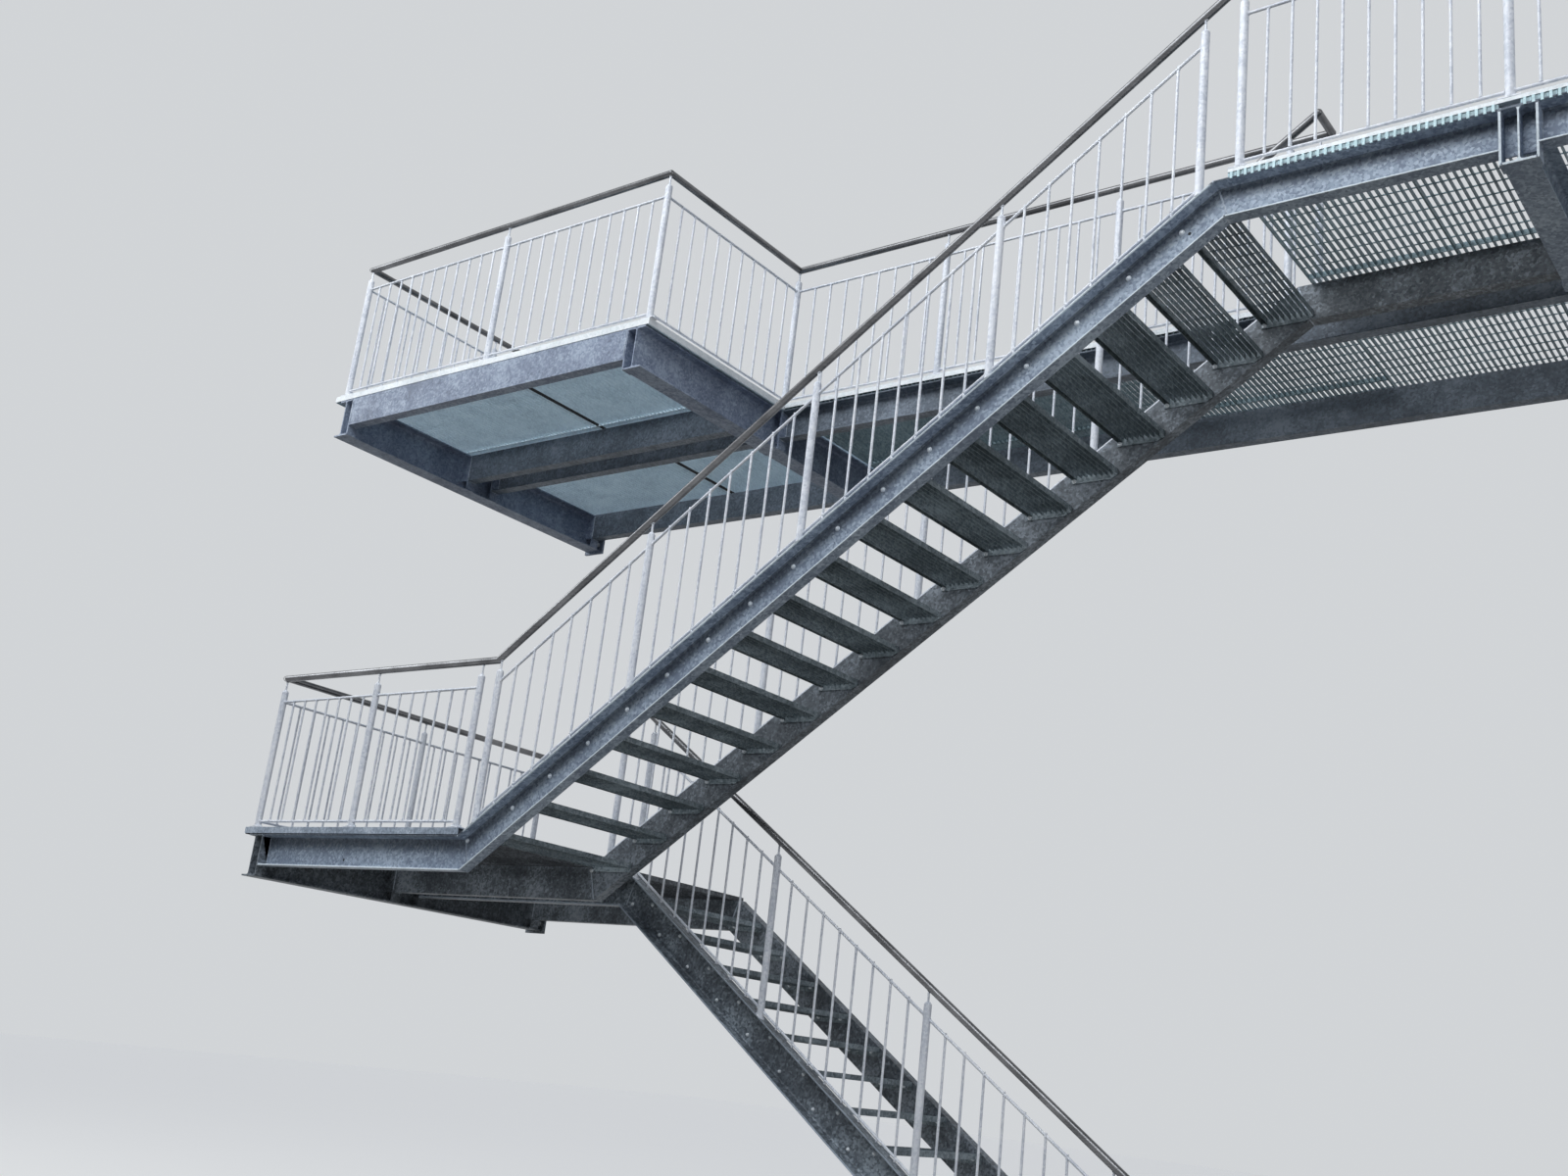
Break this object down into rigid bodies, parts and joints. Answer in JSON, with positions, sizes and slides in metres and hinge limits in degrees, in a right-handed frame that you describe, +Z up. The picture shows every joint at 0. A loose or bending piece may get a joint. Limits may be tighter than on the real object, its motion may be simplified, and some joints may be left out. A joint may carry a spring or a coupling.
{
  "type": "fire escape stair",
  "caption": "Outdoor steel stair on wall cantilevers: two flights that turn back at a landing, with a balcony, platform and gallery, open gratings and baluster railings.",
  "frame": {"origin": "wall face of the landing cantilever's wall plate, at mid height and mid width of the beam", "axes": "+X along the wall to the right as seen from outside, +Y into the wall, +Z up"},
  "size_m": [10.675, 2.6, 6.7955],
  "materials": {
    "frame_steel": "hot-dip galvanised, dull",
    "grating_steel": "hot-dip galvanised, dull",
    "railing_steel": "hot-dip galvanised, bright",
    "handrail_steel": "satin ground stainless tube"
  },
  "bodies": {
    "root": {"landing_cantilever": "frame_steel", "balcony_left_cantilever": "frame_steel", "balcony_right_cantilever": "frame_steel", "platform_cantilever": "frame_steel", "end_cantilever": "frame_steel", "upper_outer_stringer": "frame_steel", "upper_inner_stringer": "frame_steel", "lower_outer_stringer": "frame_steel", "lower_wall_stringer": "frame_steel", "balcony_front_beam": "frame_steel", "balcony_inner_beam": "frame_steel", "platform_front_beam": "frame_steel", "platform_inner_beam": "frame_steel", "gallery_outer_beams": "frame_steel", "gallery_wall_beams": "frame_steel", "landing_deck": "grating_steel", "balcony_deck": "grating_steel", "platform_deck": "grating_steel", "gallery_deck": "grating_steel", "upper_treads": "grating_steel", "lower_treads": "grating_steel", "landing_edge_strip": "railing_steel", "balcony_edge_strip": "railing_steel", "platform_edge_strip": "railing_steel", "gallery_edge_strip": "railing_steel", "landing_side_railing": "railing_steel", "landing_front_railing": "railing_steel", "upper_outer_railing": "railing_steel", "upper_inner_railing": "railing_steel", "lower_outer_railing": "railing_steel", "balcony_left_railing": "railing_steel", "balcony_front_railing": "railing_steel", "balcony_right_railing": "railing_steel", "gallery_railing": "railing_steel", "platform_front_railing": "railing_steel", "end_railing": "railing_steel", "landing_handrail": "handrail_steel", "upper_outer_handrail": "handrail_steel", "upper_inner_handrail": "handrail_steel", "lower_handrail": "handrail_steel", "balcony_handrail": "handrail_steel", "gallery_handrail": "handrail_steel", "platform_handrail": "handrail_steel"}
  },
  "joints": []
}
